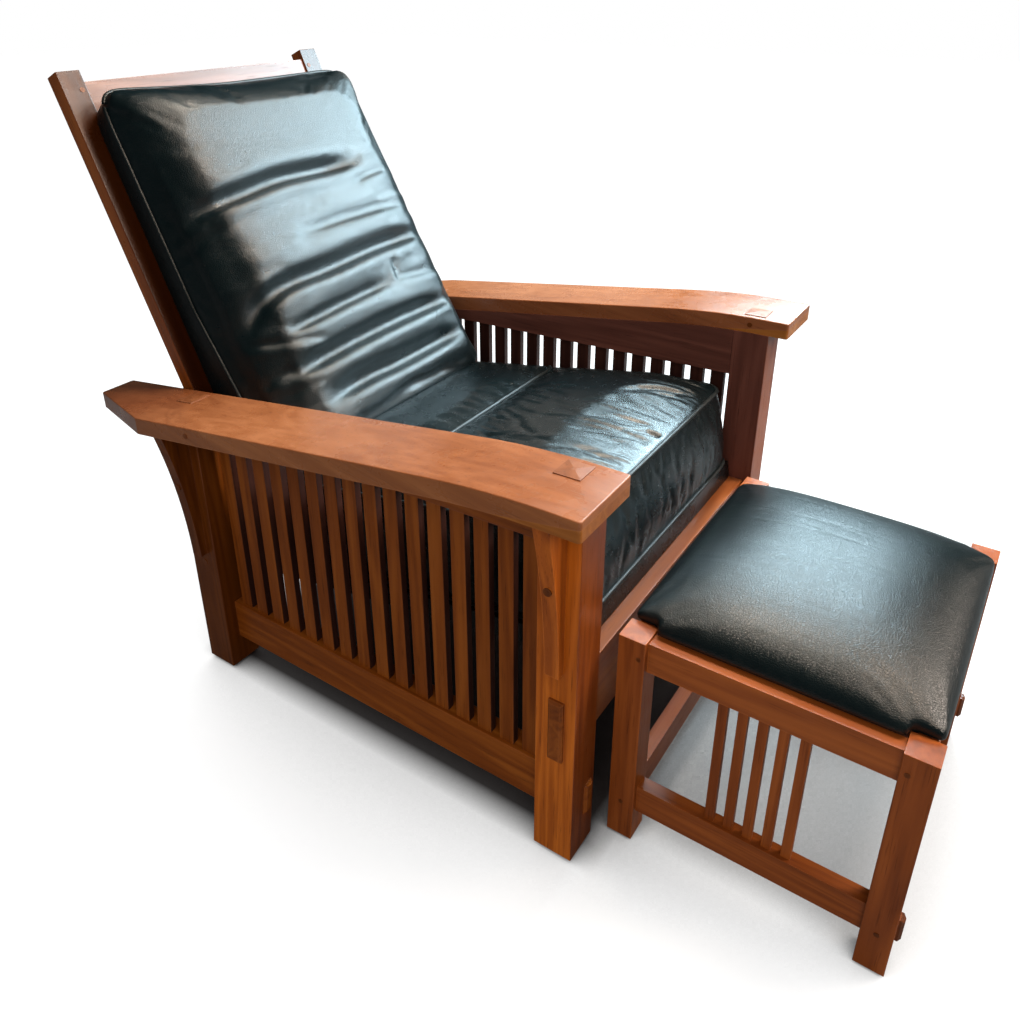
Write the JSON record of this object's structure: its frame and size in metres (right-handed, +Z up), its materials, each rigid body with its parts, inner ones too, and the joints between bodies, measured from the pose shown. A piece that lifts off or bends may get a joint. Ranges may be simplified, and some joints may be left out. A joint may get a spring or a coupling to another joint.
{
  "type": "mission reclining armchair",
  "caption": "Slatted wooden armchair with bent arms, a hinged back held by pegs, loose leather cushions and a matching footstool.",
  "frame": {"origin": "centre of the set on the floor, chair and footstool together, midway between the arms", "axes": "Z up, the sitter faces -Y, the sitter's right is -X, in metres"},
  "size_m": [0.8396, 1.4757, 1.0359],
  "materials": {
    "frame_wood": "satin brown stain over open quarter-sawn grain",
    "arm_wood": "satin amber-brown stain with a clear sheen",
    "stool_wood": "satin brown stain over open quarter-sawn grain",
    "panel_wood": "dark red-brown stain",
    "plug_wood": "end grain, stained dark",
    "peg_wood": "turned and stained",
    "cushion_leather": "smooth dark blue-green leather with a soft sheen and fine wrinkles",
    "deck_leather": "smooth dark leather stretched over a board",
    "hinge_steel": "turned steel pin and washer"
  },
  "bodies": {
    "chair_frame": {"arm_left": "arm_wood", "arm_pins": "plug_wood", "arm_right": "arm_wood", "arm_wedge_left": "arm_wood", "arm_wedge_right": "arm_wood", "corbel_plugs": "plug_wood", "front_corbel_left": "frame_wood", "front_corbel_right": "frame_wood", "front_post_left": "frame_wood", "front_post_right": "frame_wood", "front_rail": "frame_wood", "front_seat_bearer": "frame_wood", "hinge_pin_left": "hinge_steel", "hinge_pin_right": "hinge_steel", "hinge_washer_left": "hinge_steel", "hinge_washer_right": "hinge_steel", "lower_side_rail_left": "frame_wood", "lower_side_rail_right": "frame_wood", "post_plugs": "plug_wood", "rear_corbel_left": "frame_wood", "rear_corbel_right": "frame_wood", "rear_post_left": "frame_wood", "rear_post_right": "frame_wood", "rear_rail": "frame_wood", "rear_seat_bearer": "frame_wood", "seat_cushion": "cushion_leather", "seat_deck": "deck_leather", "side_slats_left": "frame_wood", "side_slats_right": "frame_wood", "upper_side_rail_left": "frame_wood", "upper_side_rail_right": "frame_wood"},
    "back_frame": {"back_bottom_rail": "frame_wood", "back_crest_rail": "frame_wood", "back_panel": "panel_wood", "back_plugs": "plug_wood", "back_post_left": "frame_wood", "back_post_right": "frame_wood"},
    "back_cushion": {"back_cushion": "cushion_leather"},
    "peg_right": {"stop_peg_right": "peg_wood"},
    "peg_left": {"stop_peg_left": "peg_wood"},
    "footstool": {"stool_board": "panel_wood", "stool_cushion": "cushion_leather", "stool_front_post_left": "stool_wood", "stool_front_post_right": "stool_wood", "stool_lower_front_rail": "stool_wood", "stool_lower_rear_rail": "stool_wood", "stool_lower_side_rail_left": "stool_wood", "stool_lower_side_rail_right": "stool_wood", "stool_plugs": "plug_wood", "stool_rear_post_left": "stool_wood", "stool_rear_post_right": "stool_wood", "stool_slats_left": "stool_wood", "stool_slats_right": "stool_wood", "stool_upper_front_rail": "stool_wood", "stool_upper_rear_rail": "stool_wood", "stool_upper_side_rail_left": "stool_wood", "stool_upper_side_rail_right": "stool_wood"}
  },
  "joints": [
    {"name": "back_tilt", "type": "hinge", "parent": "chair_frame", "child": "back_frame", "pos_m": [0, 0.42692, 0.361], "axis": [1, 0, 0], "range_deg": [0, 10]},
    {"name": "back_cushion_rise", "type": "slide", "parent": "back_frame", "child": "back_cushion", "axis": [0, 0.4067, 0.9135], "range_m": [0, 0.036]},
    {"name": "peg_right_pull", "type": "slide", "parent": "chair_frame", "child": "peg_right", "axis": [1, 0, 0], "range_m": [0, 0.045]},
    {"name": "peg_left_pull", "type": "slide", "parent": "chair_frame", "child": "peg_left", "axis": [-1, 0, 0], "range_m": [0, 0.045]},
    {"name": "footstool_slide", "type": "slide", "parent": "chair_frame", "child": "footstool", "axis": [0, -1, 0], "range_m": [0, 0.3]}
  ],
  "couplings": [
    {"joint": "back_cushion_rise", "follows": "back_tilt", "m_per_rad": 0.2}
  ]
}
